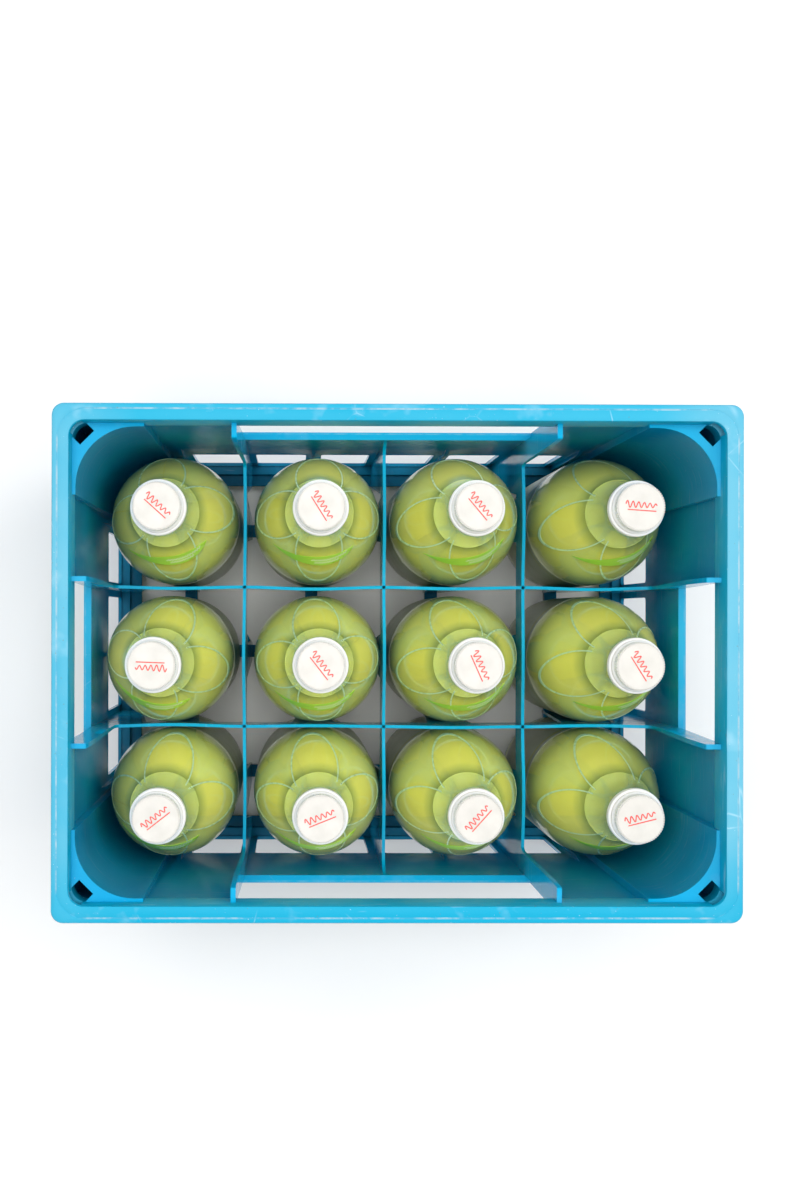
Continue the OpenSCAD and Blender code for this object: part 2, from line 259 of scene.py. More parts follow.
def glass_material():
    """Clear glass that lets lamps through, with the slight waves of a shrunk film on it."""
    p = Paint("bottle_glass")
    waves = p.noise(30.0, 2.0, 0.5, stretch=(1.0, 1.0, 0.25))
    folds = p.noise(55.0, 3.0, 0.6, stretch=(1.0, 1.0, 0.12))
    normal = p.bump(waves, 0.12, 0.001)
    normal = p.bump(p.ramp(folds, 0.62, 0.7), 0.12, 0.0006, normal)
    rough = p.ramp(p.noise(80.0, 3.0), 0.35, 0.7, 0.115, 0.145)
    glass = p.make("BsdfPrincipled", {
        "Base Color": (1.0, 1.0, 1.0, 1.0), "Roughness": rough, "Normal": normal,
        "IOR": 1.4, "Transmission Weight": 1.0,
    })
    clear = p.make("BsdfTransparent", {"Color": (1.0, 1.0, 1.0, 1.0)})
    shadow = p.make("LightPath").outputs["Is Shadow Ray"]
    return p.output(p.make("MixShader", {0: shadow, 1: glass.outputs[0], 2: clear.outputs[0]}))


def drink_material():
    """Cloudy citrus drink, yellower behind the four petals of the film, with painted shade: darker and more
    olive towards the foot of the shoulder, and darker green in the neck.
    """
    p = Paint("cloudy_drink")
    x, y, z = p.axes()
    far_x, far_y = p.math("ABSOLUTE", x), p.math("ABSOLUTE", y)
    along, across = p.math("MAXIMUM", far_x, far_y), p.math("MINIMUM", far_x, far_y)
    petal_p = p.math("DIVIDE", p.math("SUBTRACT", along, PETAL_AT * MM), PETAL_LONG * MM)
    petal_q = p.math("DIVIDE", across, PETAL_HALF * MM)
    inside = p.math("ADD", p.times(petal_p, petal_p), p.times(petal_q, petal_q))
    petal = p.ramp(inside, 0.9, 1.25, 1.0, 0.0)
    colour = p.mix(petal, srgb(218, 229, 122), srgb(229, 230, 108))
    # Painted shade: the drink is painted darker and more olive towards the foot of the shoulder, the dome's
    # shaded edge.
    low = p.ramp(z, 0.12, 0.2, 1.0, 0.0)
    colour = p.mix(p.times(low, 0.6), colour, srgb(176, 186, 80))
    # Painted shade: a darker green is painted in the neck, round the cap, as the shadow there.
    neck = p.ramp(z, 0.222, 0.236)
    colour = p.mix(p.times(neck, 0.9), colour, srgb(154, 176, 88))
    clouds = p.noise(22.0, 3.0, 0.55, stretch=(1.0, 1.0, 0.6))
    colour = p.mix(p.ramp(clouds, 0.3, 0.75, 0.0, 0.35), colour, srgb(236, 234, 150))
    pulp = p.ramp(p.noise(520.0, 1.0), 0.74, 0.8, 0.0, 0.5)
    colour = p.mix(pulp, colour, srgb(120, 130, 50))
    return p.principled({
        "Base Color": colour, "Roughness": p.ramp(clouds, 0.3, 0.7, 0.45, 0.6),
        "Specular IOR Level": 0.15, "Subsurface Weight": 0.25,
        "Subsurface Radius": (1.0, 0.9, 0.35), "Subsurface Scale": 0.004,
    })


def cap_material():
    """White polyethylene with faint mould texture, and painted light: painted near white on all that
    doesn't face straight up, against the shade on the cap's sides, and greyer on the flat top, against the
    overhead lamp.
    """
    p = Paint("cap_plastic")
    shade = p.noise(140.0, 3.0)
    # Painted light: these greyer whites are toned down for the flat top, which the overhead lamp would burn
    # out.
    colour = p.mix(p.ramp(shade, 0.35, 0.7), srgb(214, 211, 204), srgb(207, 204, 197))
    facing = p.axes(p.make("NewGeometry").outputs["Normal"])[2]
    # Painted light: the sides, skirt and ledge are painted near white to lift them out of the shade the cap
    # throws on them.
    colour = p.mix(p.ramp(facing, 0.97, 0.9), colour, srgb(250, 249, 246))
    normal = p.bump(p.noise(900.0, 2.0), 0.12, 0.0002)
    return p.principled({
        "Base Color": colour, "Roughness": p.ramp(shade, 0.3, 0.7, 0.32, 0.45), "Normal": normal,
        "Subsurface Weight": 0.15, "Subsurface Radius": (1.0, 0.9, 0.8), "Subsurface Scale": 0.0015,
    })


def ink_material(name, ink, paper, wear, rough=0.4):
    """Printed ink, thinner in places so that the ground shows."""
    p = Paint(name)
    thin = p.ramp(p.noise(700.0, 3.0, 0.7), 0.5, 0.75, 0.0, wear)
    colour = p.mix(thin, ink, paper)
    uneven = p.ramp(p.noise(200.0), 0.3, 0.7, rough - 0.08, rough + 0.08)
    return p.principled({"Base Color": colour, "Roughness": uneven})


def leaf_material():
    """Printed leaf, from mid green at one tip to yellow green at the other."""
    p = Paint("leaf_print")
    x = p.axes()[0]
    share = p.ramp(x, -0.03, 0.02)
    colour = p.mix(share, srgb(146, 214, 58), srgb(196, 242, 78))
    vein = p.ramp(p.noise(180.0, 2.0, 0.6, stretch=(0.3, 1.0, 1.0)), 0.5, 0.7, 0.0, 0.3)
    colour = p.mix(vein, colour, srgb(166, 214, 84))
    return p.principled({"Base Color": colour, "Roughness": p.ramp(p.noise(90.0), 0.3, 0.7, 0.25, 0.4)})


def label_material():
    """Pale label with plain rules, blocks and a yellow band."""
    rule_step, band_low, band_high, soft = 0.0062, 0.1215, 0.1262, 0.0005
    p = Paint("body_label")
    x, y, z = p.axes()
    angle = p.math("ARCTAN2", y, x)
    paper = p.mix(p.ramp(p.noise(60.0, 3.0), 0.3, 0.7), srgb(206, 208, 188), srgb(190, 194, 170))
    rows = p.math("FRACT", p.times(z, 1 / rule_step))
    rule = p.times(p.ramp(rows, 0.42, 0.5), p.ramp(rows, 0.62, 0.54))
    dashes = p.ramp(p.noise(130.0, 1.0, stretch=(1.0, 1.0, 0.02)), 0.46, 0.5)
    colour = p.mix(p.times(p.times(rule, dashes), 0.5), paper, srgb(120, 126, 84))
    stripe = p.times(p.ramp(z, band_low, band_low + soft), p.ramp(z, band_high, band_high - soft))
    colour = p.mix(p.times(stripe, 0.85), colour, srgb(196, 190, 70))
    field = p.ramp(p.math("SINE", p.times(angle, 2.0)), -0.2, 0.1, 0.0, 0.55)
    colour = p.mix(field, colour, srgb(160, 176, 96))
    normal = p.bump(p.noise(40.0, 2.0), 0.1, 0.0005)
    return p.principled({
        "Base Color": colour, "Roughness": p.ramp(p.noise(70.0), 0.3, 0.7, 0.3, 0.42), "Normal": normal,
    })


def floor_material():
    """Plain, near white."""
    p = Paint("pale_floor")
    shade = p.noise(3.0, 3.0)
    colour = p.mix(p.ramp(shade, 0.3, 0.7), srgb(251, 251, 250), srgb(248, 248, 247))
    return p.principled({"Base Color": colour, "Roughness": p.ramp(shade, 0.3, 0.7, 0.6, 0.7)})


# ---- Meshes: every builder takes millimetres and gives a mesh in metres ----
def to_mesh(name, bm, smooth_angle=40.0):
    bmesh.ops.remove_doubles(bm, verts=bm.verts, dist=1e-4)
    bmesh.ops.recalc_face_normals(bm, faces=bm.faces)
    bmesh.ops.scale(bm, vec=(MM, MM, MM), verts=bm.verts)
    mesh = bpy.data.meshes.new(name)
    bm.to_mesh(mesh)
    bm.free()
    mesh.shade_smooth()
    mesh.set_sharp_from_angle(angle=math.radians(smooth_angle))
    return mesh


def skin(bm, loops, closed):
    """Joins loops of equally many points with quads. closed joins the last loop to the first."""
    made = [[bm.verts.new(point) for point in loop] for loop in loops]
    pairs = list(zip(made, made[1:]))
    if closed:
        pairs.append((made[-1], made[0]))
    for first, second in pairs:
        count = len(first)
        for i in range(count):
            k = (i + 1) % count
            bm.faces.new((first[i], first[k], second[k], second[i]))
    return made


def block(bm, lo, hi):
    """A rectangular rib from its lowest to its highest corner."""
    corners = [[lo[i] if not bit else hi[i] for i, bit in enumerate(bits)]
               for bits in ((0, 0, 0), (1, 0, 0), (1, 1, 0), (0, 1, 0),
                            (0, 0, 1), (1, 0, 1), (1, 1, 1), (0, 1, 1))]
    v = [bm.verts.new(corner) for corner in corners]
    for face in ((3, 2, 1, 0), (4, 5, 6, 7), (0, 1, 5, 4), (1, 2, 6, 5), (2, 3, 7, 6), (3, 0, 4, 7)):
        bm.faces.new([v[i] for i in face])


def rounded_loop(half_x, half_y, r, z, steps=10):
    """Rectangle with round corners, centred on the origin."""
    points = []
    for quarter, (sx, sy) in enumerate(CORNERS):
        for i in range(steps + 1):
            a = math.pi / 2 * (quarter + i / steps)
            points.append((sx * (half_x - r) + r * math.cos(a), sy * (half_y - r) + r * math.sin(a), z))
    return points


def drain_tools():
    """Where the drain holes of the corners go on outwards through the rim's inner skirt."""
    bm = bmesh.new()
    half, top = DRAIN_W / 2, TOP_Z - RIM_TOP - 0.05
    for quarter, (sx, sy) in enumerate(CORNERS):
        turn = Matrix.Rotation(math.radians(45 + 90 * quarter), 2)
        corner = Vector((sx * (HALF_L - RIM_WIDE - DRAIN_IN), sy * (HALF_W - RIM_WIDE - DRAIN_IN)))
        plan = [corner + turn @ Vector(point)
                for point in ((0, -half), (DRAIN_OUT, -half), (DRAIN_OUT, half), (0, half))]
        made = skin(bm, [[(x, y, z) for x, y in plan] for z in (TOP_Z - WEB_DEEP, top)], closed=False)
        bm.faces.new(made[0][::-1])
        bm.faces.new(made[1])
    return bm


def cut(bm, tool):
    """The first mesh less the second. Both are used up."""
    parts = []
    for name, shape in (("whole", bm), ("tool", tool)):
        bmesh.ops.remove_doubles(shape, verts=shape.verts, dist=1e-4)
        bmesh.ops.recalc_face_normals(shape, faces=shape.faces)
        mesh = bpy.data.meshes.new(name)
        shape.to_mesh(mesh)
        shape.free()
        parts.append(bpy.data.objects.new(name, mesh))
        bpy.context.scene.collection.objects.link(parts[-1])
    change = parts[0].modifiers.new("cut", "BOOLEAN")
    change.operation, change.solver, change.object = "DIFFERENCE", "EXACT", parts[1]
    found = parts[0].evaluated_get(bpy.context.evaluated_depsgraph_get())
    result = bmesh.new()
    result.from_mesh(found.to_mesh())
    found.to_mesh_clear()
    for part in parts:
        mesh = part.data
        bpy.data.objects.remove(part)
        bpy.data.meshes.remove(mesh)
    return result


def rim_mesh():
    """The inverted channel of the rim: rounded edges, and a fine step line round its top."""
    lip, rib, rib_lift = 1.2, 1.25, 0.3
    outline = [  # inset from the outside, height in the rim, corner radius
        (0.3, 0.0, RIM_R), (0.0, 0.3, RIM_R), (0.0, RIM_DEEP - lip, RIM_R),
        (0.35 * lip, RIM_DEEP - 0.3 * lip, RIM_R), (lip, RIM_DEEP, RIM_R),
        (STEP_IN - 0.35, RIM_DEEP, STEP_R), (STEP_IN, RIM_DEEP - STEP_DEEP, STEP_R),
        (STEP_IN + 0.5, RIM_DEEP - 0.05, STEP_R),
        (RIM_WIDE - 1.1, RIM_DEEP, RIM_INNER_R + 0.6), (RIM_WIDE - 0.35, RIM_DEEP - 0.3, RIM_INNER_R),
        (RIM_WIDE, RIM_DEEP - 1.1, RIM_INNER_R), (RIM_WIDE, 0.4, RIM_INNER_R),
        (RIM_WIDE - 0.4, 0.0, RIM_INNER_R), (RIM_WIDE - INNER_SKIRT, 0.0, RIM_INNER_R + 1),
        (RIM_WIDE - INNER_SKIRT, RIM_DEEP - RIM_TOP, RIM_INNER_R + 1),
        (OUTER_SKIRT, RIM_DEEP - RIM_TOP, RIM_R - OUTER_SKIRT), (OUTER_SKIRT, 0.3, RIM_R - OUTER_SKIRT),
        (OUTER_SKIRT - 0.3, 0.0, RIM_R - OUTER_SKIRT),
    ]
    bm = bmesh.new()
    skin(bm, [rounded_loop(HALF_L - d, HALF_W - d, r, RIM_Z + z) for d, z, r in outline], closed=True)
    bm = cut(bm, drain_tools())
    low, under = RIM_Z + rib_lift, TOP_Z - RIM_TOP
    in_x, in_y = HALF_L - RIM_WIDE + INNER_SKIRT, HALF_W - RIM_WIDE + INNER_SKIRT
    out_x, out_y = HALF_L - OUTER_SKIRT, HALF_W - OUTER_SKIRT
    for s in (-1, 1):
        for k in range(-3, 4):
            x, (y0, y1) = k * PITCH / 2, sorted((s * in_y, s * out_y))
            block(bm, (x - rib, y0, low), (x + rib, y1, under))
        for k in range(-2, 3):
            y, (x0, x1) = k * PITCH / 2, sorted((s * in_x, s * out_x))
            block(bm, (x0, y - rib, low), (x1, y + rib, under))
    return to_mesh("rim", bm, 35)


def divider_outline(legs, middle, reach, foot_in, to_rim):
    """Half of a divider plate, u from its middle to the wall: lower edge outwards, upper edge back.
    At the wall it ends at the handle sill, or rises as a rib whose flat top is just below the rim's."""
    lower = [(0.0, FLOOR_Z), (LEG_FOOT, FLOOR_Z), (LEG_TOP, ARCH_Z)] if middle else [(0.0, ARCH_Z)]
    for u in legs:
        lower += [(u - LEG_TOP, ARCH_Z), (u - LEG_FOOT, FLOOR_Z), (u + LEG_FOOT, FLOOR_Z),
                  (u + LEG_TOP, ARCH_Z)]
    lower += [(reach - WALL_LEG, ARCH_Z), (foot_in - STRIP_W, FLOOR_Z), (foot_in, FLOOR_Z),
              (foot_in, WALL_Z), (reach, WALL_Z)]
    if to_rim:
        face, ease = reach - WALL_BACK, 1.6
        tip = face - RIB_HIGH
        end, wide, high = face - RIB_LOW, RIB_CURVE_W, RIB_CURVE_Z
        upper = [(reach, RIM_Z), (face, RIM_Z), (face, RIB_TOP_Z), (tip + ease, RIB_TOP_Z),
                 (tip + 0.3 * ease, RIB_TOP_Z - 0.3 * ease), (tip, RIB_TOP_Z - ease)]
    else:
        end, wide, high = reach, SILL_CURVE_W, SILL_Z
        upper = []
    steps = 12
    for i in range(steps, -1, -1):
        a = math.pi / 2 * i / steps
        upper.append((end - wide + wide * math.sin(a),
                      DIVIDER_TOP + (high - DIVIDER_TOP) * (1 - math.cos(a))))
    upper.append((0.0, DIVIDER_TOP))
    return lower + upper


def add_plate(bm, outline, place, thick, bend):
    """A plate from half its outline, mirrored, cut into a grid and bent.
    place maps (u, n, v), which are along, through and up the plate, to x, y, z."""
    spacing, levels = 6, (60, 140, 150, 163, 170, 177, 200, 220, 250, 280)
    plate = bmesh.new()
    for side in (1, -1):
        plate.faces.new([plate.verts.new((side * u, 0, v)) for u, v in outline])
    reach = max(u for u, v in outline)
    cuts = [(Vector((u, 0, 0)), Vector((1, 0, 0))) for u in range(-int(reach), int(reach), spacing)]
    cuts += [(Vector((0, 0, v)), Vector((0, 0, 1))) for v in levels]
    for point, normal in cuts:
        geometry = plate.verts[:] + plate.edges[:] + plate.faces[:]
        bmesh.ops.bisect_plane(plate, geom=geometry, plane_co=point, plane_no=normal, dist=1e-4)
    bmesh.ops.remove_doubles(plate, verts=plate.verts, dist=1e-3)
    border = [edge for edge in plate.edges if edge.is_boundary]
    flat = {v: v.co.copy() for v in plate.verts}
    sides = []
    for n in (-1, 1):
        new = {}
        for v, co in flat.items():
            half = thick(co.x, co.z) / 2
            new[v] = bm.verts.new(place(co.x, n * half + bend(co.x, co.z), co.z))
        for face in plate.faces:
            bm.faces.new([new[v] for v in face.verts])
        sides.append(new)
    for edge in border:
        a, b = edge.verts
        bm.faces.new((sides[0][a], sides[0][b], sides[1][b], sides[1][a]))
    plate.free()


def smooth_step(low, high, value):
    t = min(1.0, max(0.0, (value - low) / (high - low)))
    return t * t * (3 - 2 * t)


def towards_wall(reach, u):
    """0 along a plate's middle, rising to 1 in the ribs at its two ends."""
    return smooth_step(reach - RIB_FROM, reach - RIB_FULL, abs(u))


def thickness(reach):
    """A plate's thickness: thin, and thicker in the ribs above the dividers' top."""
    full_z = 240
    return lambda u, v: DIVIDER_T + (RIB_T - DIVIDER_T) * smooth_step(DIVIDER_TOP, full_z, v) * \
        towards_wall(reach, u)


def bow(sizes, offset):
    """Sideways sag of a plate's top edge between crossings. sizes holds one amount for each cell."""
    from_z = 140

    def at(u, v):
        cell, part = divmod(u / PITCH + offset, 1.0)
        size = sizes[min(len(sizes) - 1, max(0, int(cell)))]
        return size * math.sin(math.pi * part) ** 2 * smooth_step(from_z, DIVIDER_TOP, v)
    return at


def flared(base, side, reach):
    """A sag with the ribs at both ends leaning to one side on their way up."""
    return lambda u, v: base(u, v) + side * FLARE * smooth_step(DIVIDER_TOP, RIM_Z, v) * \
        towards_wall(reach, u)


def divider_meshes():
    """The middle divider, the two outer ones across the crate and the two along it."""
    wall_x, wall_y = HALF_L - RIM_WIDE + WALL_BACK, HALF_W - RIM_WIDE + WALL_BACK
    foot_x, foot_y = HALF_L - FOOT_BACK - FOOT_T, HALF_W - FOOT_BACK - FOOT_T
    middle = bmesh.new()
    add_plate(middle, divider_outline([PITCH], True, wall_y, foot_y, False),
              lambda u, n, v: (n, u, v), thickness(wall_y), bow((0.4, 0.5, 0.4), 1.5))
    outer = bmesh.new()
    for s in (-1, 1):
        sag = bow((0.9, 0.3, 0.7) if s > 0 else (0.5, -0.6, 0.4), 1.5)
        add_plate(outer, divider_outline([PITCH], True, wall_y, foot_y, True),
                  lambda u, n, v: (s * PITCH + n, u, v), thickness(wall_y), flared(sag, s, wall_y))
    rows = bmesh.new()
    sags = {1: (-1.0, -1.3, -0.9, -1.2), -1: (1.1, 0.5, -0.6, 0.8)}
    for s in (-1, 1):
        bend = flared(bow(sags[s], 2.0), s, wall_x)
        outline = divider_outline([PITCH / 2, 3 * PITCH / 2], False, wall_x, foot_x, True)
        add_plate(rows, outline, lambda u, n, v: (u, s * PITCH / 2 + n, v), thickness(wall_x), bend)
        for x in (-PITCH, 0, PITCH):
            add_gusset(rows, x, s * PITCH / 2)
    return (to_mesh("divider_middle", middle, 30), to_mesh("dividers_outer", outer, 30),
            to_mesh("dividers_row", rows, 30))


def add_gusset(bm, x, y, size=3.4):
    """Four concave fillets where two dividers cross."""
    points = []
    for quarter in range(4):
        for i in range(6):
            a = math.pi / 2 * (quarter + i / 6)
            r = size * (1 - 0.62 * math.sin(2 * math.pi * i / 12) ** 0.8)
            points.append((x + r * math.cos(a), y + r * math.sin(a)))
    loops = [[(px, py, z) for px, py in points] for z in (ARCH_Z, DIVIDER_TOP - 0.8)]
    made = skin(bm, loops, closed=False)
    bm.faces.new(made[0][::-1])
    bm.faces.new(made[1])


def lathe(name, outline, segments=96, shape=None, smooth_angle=40.0):
    """Turns an outline of (radius, height) about Z. shape(i, radius, height) may change the radius."""
    bm = bmesh.new()
    loops = []
    for r, z in outline:
        ring = []
        for i in range(segments):
            a = 2 * math.pi * i / segments
            radius = shape(i, r, z) if shape and r > 0 else r
            ring.append((radius * math.cos(a), radius * math.sin(a), z))
        loops.append(ring)
    skin(bm, loops, closed=outline[0][0] > 0 or outline[-1][0] > 0)
    return to_mesh(name, bm, smooth_angle)


def dome_curve(shrink, steps=18):
    """The glass from the shoulder's foot to the bead."""
    curve = []
    for i in range(steps + 1):
        t = i / steps
        r = NECK_R + (BODY_R - NECK_R) * math.cos(math.pi / 2 * t)
        curve.append((r - shrink, SHOULDER_H + (NECK_H - SHOULDER_H) * t))
    for i in range(1, steps + 1):
        s = i / steps
        curve.append((THROAT_R + (NECK_R - THROAT_R) * (1 - s) ** THROAT_POWER - shrink,
                      NECK_H + (BEAD_H - NECK_H) * s))
    return curve


def height_at(radius):
    """Height of the glass's outside at a radius, on the shoulder or the neck."""
    if radius >= NECK_R:
        share = min(1.0, (radius - NECK_R) / (BODY_R - NECK_R))
        return SHOULDER_H + (NECK_H - SHOULDER_H) * math.acos(share) / (math.pi / 2)
    share = max(0.0, (radius - THROAT_R) / (NECK_R - THROAT_R))
    return NECK_H + (BEAD_H - NECK_H) * (1 - share ** (1 / THROAT_POWER))


def heel_curve(r, z, round_r, steps=8):
    """The rounding between a base at height z and a side of radius r."""
    return [(r - round_r + round_r * math.sin(math.pi / 2 * i / steps),
             z + round_r - round_r * math.cos(math.pi / 2 * i / steps)) for i in range(steps + 1)]


def glass_mesh():
    """The bottle as one closed shell: up its outside, over the lip and down its inside."""
    finish_z = BEAD_H + BEAD_T
    outline = [(0, PUNT), (PUNT_R, PUNT * 0.8), (BEARING_R - 2.5, 0.3), (BEARING_R, 0)]
    outline += heel_curve(BODY_R, 0, HEEL_R)[1:]
    outline += dome_curve(0)
    outline += [(BEAD_R - 0.5, BEAD_H), (BEAD_R, BEAD_H + 0.6), (BEAD_R, finish_z - 0.8),
                (BEAD_R - 0.8, finish_z), (FINISH_R, finish_z), (FINISH_R, LIP_H - 0.8),
                (FINISH_R - 0.8, LIP_H), (BORE_R + 0.8, LIP_H), (BORE_R, LIP_H - 0.8), (BORE_R, BEAD_H)]
    outline += dome_curve(GLASS_T)[-2::-1]
    outline += heel_curve(BODY_R - GLASS_T, BASE_T, HEEL_R)[::-1]
    outline += [(PUNT_R, BASE_T + 0.8 * PUNT), (0, BASE_T + PUNT)]
    return lathe("glass", outline, 128)


def drink_mesh():
    """Fills the glass and reaches just into its wall, so no gap shows between them."""
    grip = 0.25
    inner = dome_curve(GLASS_T - grip)
    below = [point for point in inner if point[1] < FILL_H]
    top_r = below[-1][0] - 0.1
    outline = [(0, BASE_T + PUNT - grip), (PUNT_R, BASE_T + PUNT - 0.8 - grip)]
    outline += heel_curve(BODY_R - GLASS_T + grip, BASE_T - grip, HEEL_R)
    outline += below + [(top_r, FILL_H + 0.6), (top_r - 1.2, FILL_H - 0.2), (top_r - 3, FILL_H - 0.5),
                        (0, FILL_H - 0.5)]
    return lathe("drink", outline, 128)


def band_mesh():
    """The tamper band that stays on the bead."""
    z = BEAD_H + BEAD_T
    outline = [(FINISH_R + 0.1, z), (BAND_R - 0.6, z), (BAND_R, z + 0.6), (BAND_R, z + BAND_T - 1.5),
               (BAND_R - 0.12, z + BAND_T - 1.0), (BAND_R - 0.5, z + BAND_T - 0.6),
               (CAP_R + 0.7, z + BAND_T), (FINISH_R + 0.1, z + BAND_T)]
    return lathe("band", outline, 96)


def cap_mesh():
    """Screw cap: a flat disc, a knurled edge, and a skirt that steps out to a broad sloping ledge."""
    z = BEAD_H + BEAD_T + BAND_T + 0.4
    knurl_low, knurl_r, depth = z + 3.4, CAP_R - 0.15, 0.4
    outline = [(CAP_R - CAP_WALL, z), (CAP_R + 0.5, z), (CAP_R + 0.7, z + 0.3),
               (CAP_R + 0.7, z + 1.9), (CAP_R + 0.45, z + 2.3), (knurl_r, knurl_low - 0.4),
               (knurl_r, knurl_low), (knurl_r, CAP_TOP - 0.9), (knurl_r - 0.15, CAP_TOP - 0.6),
               (knurl_r - 0.4, CAP_TOP - 0.6), (knurl_r - 0.5, CAP_TOP - 1.3),
               (knurl_r - 0.85, CAP_TOP - 1.3), (knurl_r - 0.95, CAP_TOP - CAP_RECESS),
               (0, CAP_TOP - CAP_RECESS), (0, LIP_H + 0.1), (CAP_R - CAP_WALL, LIP_H + 0.1)]

    def knurled(i, r, height):
        low = i % 3 == 0 and height >= knurl_low and r >= knurl_r - 0.45
        return r - depth if low else r

    return lathe("cap", outline, 180, knurled, 30)


def on_glass(radius, angle, lift):
    """A point just outside the glass, from its distance and direction from the bottle's axis."""
    slope = 0.05
    rise = height_at(radius + slope) - height_at(radius - slope)
    out = Vector((-rise, 2 * slope)).normalized()
    r, z = radius + lift * abs(out.x), height_at(radius) + lift * abs(out.y)
    return r * math.cos(angle), r * math.sin(angle), z


def ribbon(bm, centres, width, low, high, surface):
    """A thin strip along centres, which are (x, y) in plan. surface lifts (x, y) points onto the object."""
    loops = []
    for i, (x, y) in enumerate(centres):
        x0, y0 = centres[max(0, i - 1)]
        x1, y1 = centres[min(len(centres) - 1, i + 1)]
        side = Vector((y0 - y1, x1 - x0)).normalized() * width / 2
        left, right = (x + side.x, y + side.y), (x - side.x, y - side.y)
        loops.append([surface(*left, low), surface(*left, high),
                      surface(*right, high), surface(*right, low)])
    made = skin(bm, loops, closed=False)
    bm.faces.new(made[0][::-1])
    bm.faces.new(made[-1])


def glass_surface(x, y, lift):
    return on_glass(math.hypot(x, y), math.atan2(y, x), lift)


def petal_mesh():
    """Four outlined petals round the neck."""
    width, steps = 0.8, 64
    bm = bmesh.new()
    end = math.radians(PETAL_SWEEP)
    for quarter in range(4):
        turn = Matrix.Rotation(math.pi / 2 * quarter, 2)
        line = []
        for i in range(steps + 1):
            a = -end + 2 * end * i / steps
            point = Vector((PETAL_AT + PETAL_LONG * math.cos(a), PETAL_HALF * math.sin(a)))
            line.append(tuple(turn @ point))
        ribbon(bm, line, width, -0.15, 0.13, glass_surface)
    return to_mesh("petals", bm)


def leaf_line(t):
    """Direction and distance from the bottle's axis of the leaf's middle line, t being 0 to 1."""
    angle = math.radians(LEAF_FROM + (LEAF_TO - LEAF_FROM) * t)
    return angle, BODY_R * (LEAF_NEAR + LEAF_RISE * max(0.0, 1 - t / 0.52) ** 2)


def print_mesh():
    """Generic white strokes along the leaf, in place of its wording."""
    width, height, steps = 0.32, 0.38, 80
    bm = bmesh.new()
    for from_t, to_t, aside, waves in ((0.46, 0.9, -0.5, 13), (0.5, 0.78, 0.8, 9)):
        line = []
        for i in range(steps + 1):
            share = i / steps
            angle, radius = leaf_line(from_t + (to_t - from_t) * share)
            radius += aside + height * math.sin(2 * math.pi * waves * share)
            line.append((radius * math.cos(angle), radius * math.sin(angle)))
        ribbon(bm, line, width, 0.05, 0.24, glass_surface)
    return to_mesh("print", bm)


def leaf_mesh():
    """A crescent leaf low on the shoulder."""
    bm = bmesh.new()
    steps, across = 40, 6
    for lift in (-0.1, 0.16):
        grid = []
        for i in range(steps + 1):
            t = i / steps
            a, middle = leaf_line(t)
            half = LEAF_HALF * math.sin(math.pi * t ** 1.35) ** 0.8
            grid.append([bm.verts.new(on_glass(middle + half * (2 * k / across - 1), a, lift))
                         for k in range(across + 1)])
        for row, following in zip(grid, grid[1:]):
            for k in range(across):
                bm.faces.new((row[k], row[k + 1], following[k + 1], following[k]))
    bmesh.ops.remove_doubles(bm, verts=bm.verts, dist=1e-3)
    border = [edge for edge in bm.edges if edge.is_boundary]
    bmesh.ops.bridge_loops(bm, edges=border)
    return to_mesh("leaf", bm)


def label_mesh():
    """A thin sleeve round the bottle's straight body."""
    inner, outer = BODY_R - 0.1, BODY_R + LABEL_OUT
    outline = [(inner, LABEL_LOW), (outer, LABEL_LOW), (outer, LABEL_HIGH), (inner, LABEL_HIGH)]
    return lathe("label", outline, 96)


def mark_mesh():
    """Generic printed flourish on the cap: a wave over a bar."""
    long, high, width, steps = 18.4, 2.1, 0.7, 96
    bm = bmesh.new()

    def flat(x, y, lift):
        return x, y, CAP_TOP - CAP_RECESS + lift

    wave = []
    for i in range(steps + 1):
        t = i / steps
        wave.append((-long / 2 + long * t, 1.3 + high * math.sin(t * math.pi * 11) * (1 - 0.5 * t)))
    bar = [(-8.0 + 1.7 * i, -1.9) for i in range(11)]
    for line in (wave, bar):
        ribbon(bm, line, width, -0.05, 0.06, flat)
    return to_mesh("mark", bm)


# ---- Pieces ----
def add_piece(name, mesh, body, material, replaces=(), place=None, turn=0.0):
    """A visible piece that moves with a body, in place of the CAD nodes it replaces."""
    piece = bpy.data.objects.new(name, mesh)
    bpy.context.scene.collection.objects.link(piece)
    if place:
        piece.location = place
    piece.rotation_euler = (0, 0, turn)
    if not mesh.materials:
        mesh.materials.append(material)
    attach(piece, body)
    if replaces:
        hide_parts(*replaces)
    return piece


def bevel(piece, width, angle=40, segments=2):
    edge = piece.modifiers.new("edges", "BEVEL")
    edge.width, edge.segments = width * MM, segments
    edge.limit_method, edge.angle_limit = "ANGLE", math.radians(angle)
    edge.harden_normals = True


def dress_cad(name, material, width):
    """Keeps a CAD node: joins its split corners, drops its flat triangulation and rounds its edges."""
    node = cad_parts[name]
    mesh = node.data
    mesh.materials.clear()
    mesh.materials.append(material)
    if "custom_normal" in mesh.attributes:
        mesh.attributes.remove(mesh.attributes["custom_normal"])
    mesh.shade_smooth()
    weld = node.modifiers.new("weld", "WELD")
    weld.merge_threshold = 1e-6
    flat = node.modifiers.new("flat", "DECIMATE")
    flat.decimate_type, flat.angle_limit = "DISSOLVE", math.radians(1)
    bevel(node, width)


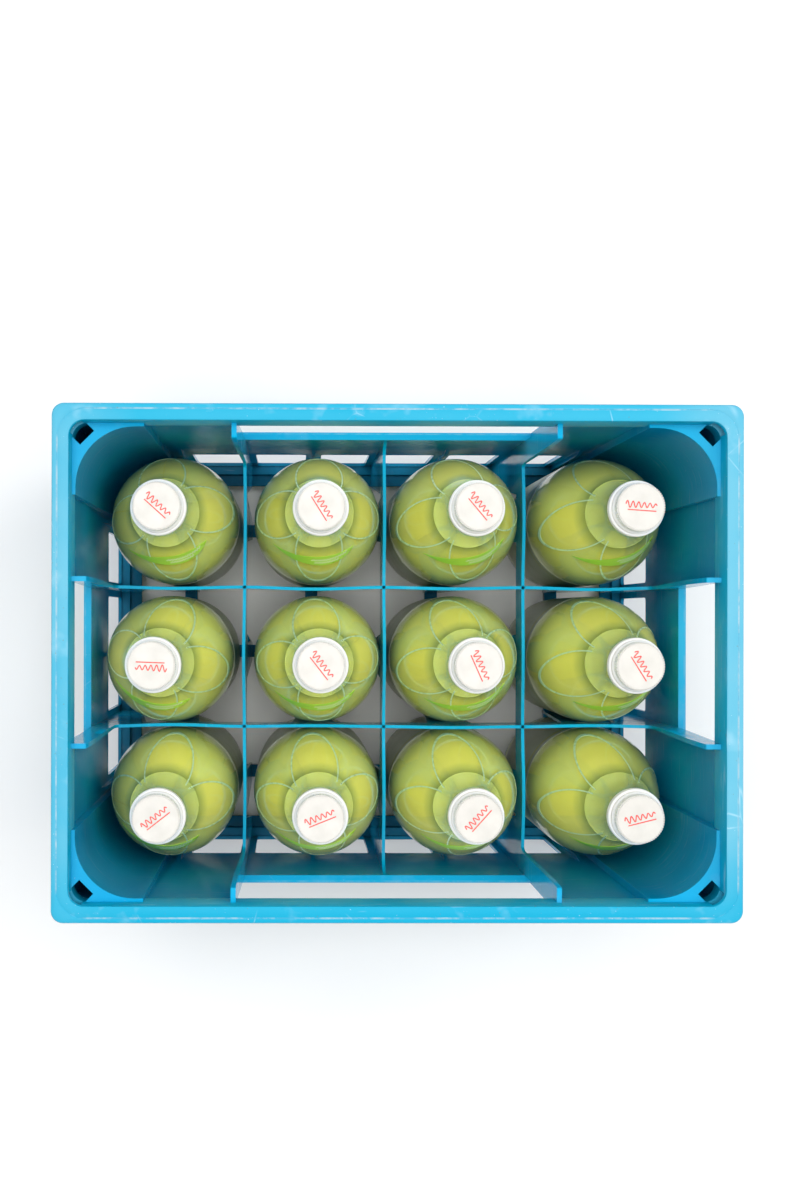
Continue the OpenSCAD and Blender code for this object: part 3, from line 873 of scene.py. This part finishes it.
def main():
    floor_half = 8000
    make_camera()
    make_world()
    for light in LIGHTS:
        make_light(*light)
    ground = bmesh.new()
    bmesh.ops.create_grid(ground, x_segments=4, y_segments=4, size=floor_half)
    floor = bpy.data.objects.new("floor", to_mesh("floor", ground))
    bpy.context.scene.collection.objects.link(floor)
    floor.data.materials.append(floor_material())

    faded = crate_plastic("faded_plastic", srgb(50, 174, 208), srgb(0, 166, 204), 1.0, 0.34, 0.18)
    glossy = crate_plastic("glossy_plastic", srgb(0, 168, 212), srgb(0, 158, 210), 0.25, 0.1, 0.05)
    add_piece("rim", rim_mesh(), "crate", faded, ["top_rim"])
    for name, mesh in zip(("divider_middle", "dividers_outer", "dividers_row"), divider_meshes()):
        plate = add_piece(name + "_plate", mesh, "crate", glossy, [name])
        bevel(plate, 0.6, 50, 3)
    dress_cad("corner_columns", glossy, 0.8)
    for name in ("front_wall", "back_wall", "left_wall", "right_wall", "foot_ring", "floor_bars_long",
                 "floor_bars_cross"):
        dress_cad(name, glossy, 0.45)

    glass, drink, cap = glass_material(), drink_material(), cap_material()
    petal_ink = ink_material("petal_print", srgb(208, 240, 200), srgb(206, 218, 130), 0.35, 0.3)
    red_ink = ink_material("red_print", srgb(222, 62, 52), srgb(238, 150, 136), 0.5)
    white_ink = ink_material("white_print", srgb(240, 246, 232), srgb(200, 230, 130), 0.5)
    leaf, label = leaf_material(), label_material()
    meshes = {
        "glass": glass_mesh(), "drink": drink_mesh(), "band": band_mesh(), "cap": cap_mesh(),
        "petals": petal_mesh(), "leaf": leaf_mesh(), "print": print_mesh(), "label": label_mesh(),
        "mark": mark_mesh(),
    }
    film_turn = dict(zip(CELLS, (8, 0, 12, 16, -12, 4, 14, 18, -4, 6, 10, 14)))
    cap_turn = dict(zip(CELLS, (-42, -58, -50, -4, 178, -52, -66, -58, 38, 22, 48, 14)))
    for cell in CELLS:
        lo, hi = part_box("bottle_" + cell)
        place = Vector(((lo.x + hi.x) / 2, (lo.y + hi.y) / 2, lo.z))
        body, top = "bottle_" + cell, "cap_" + cell
        film, twist = math.radians(film_turn[cell]), math.radians(cap_turn[cell])
        add_piece("glass_" + cell, meshes["glass"], body, glass, [body], place, film)
        add_piece("juice_" + cell, meshes["drink"], body, drink, ["drink_" + cell], place, film)
        add_piece("ring_" + cell, meshes["band"], body, cap, ["band_" + cell], place, film)
        add_piece("petals_" + cell, meshes["petals"], body, petal_ink, (), place, film)
        add_piece("leaf_" + cell, meshes["leaf"], body, leaf, (), place, film)
        add_piece("print_" + cell, meshes["print"], body, white_ink, (), place, film)
        add_piece("label_" + cell, meshes["label"], body, label, (), place, film)
        add_piece("lid_" + cell, meshes["cap"], top, cap, [top], place, twist)
        add_piece("mark_" + cell, meshes["mark"], top, red_ink, (), place, twist)


main()
